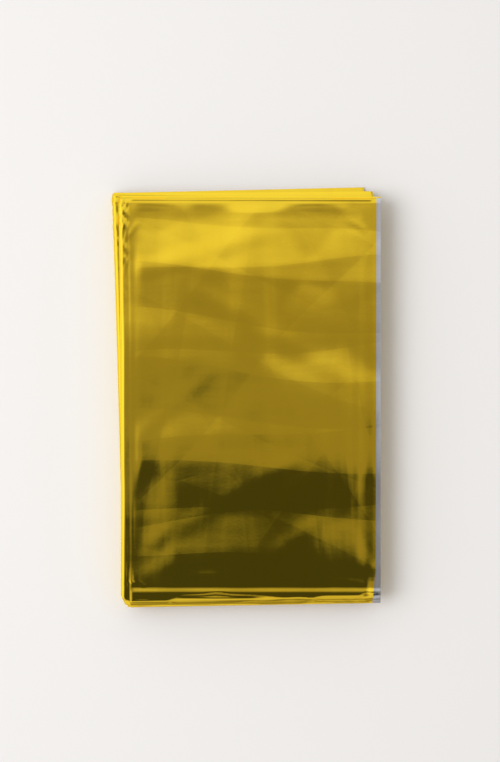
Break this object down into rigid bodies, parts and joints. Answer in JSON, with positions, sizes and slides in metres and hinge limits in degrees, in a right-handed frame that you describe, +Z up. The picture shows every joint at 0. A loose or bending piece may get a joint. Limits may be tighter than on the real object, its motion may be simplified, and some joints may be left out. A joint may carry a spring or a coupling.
{
  "type": "emergency foil blanket, folded flat",
  "caption": "Thin metallised film sheet, gold on one face and silver on the other, folded back and forth into a flat rectangular pack.",
  "frame": {"origin": "bottom centre of the folded pack, on the surface that it lies on", "axes": "+X to the right across the pack, where the silver folds show; +Y along its length, up in the picture; +Z up, out of the face that is seen"},
  "size_m": [0.1084, 0.1686, 0.0144],
  "materials": {
    "gold_film": "mirror-bright metallised polyester film, gold on the outside and silver on the inside"
  },
  "bodies": {
    "root": {"foil_blanket": "gold_film"}
  },
  "joints": []
}
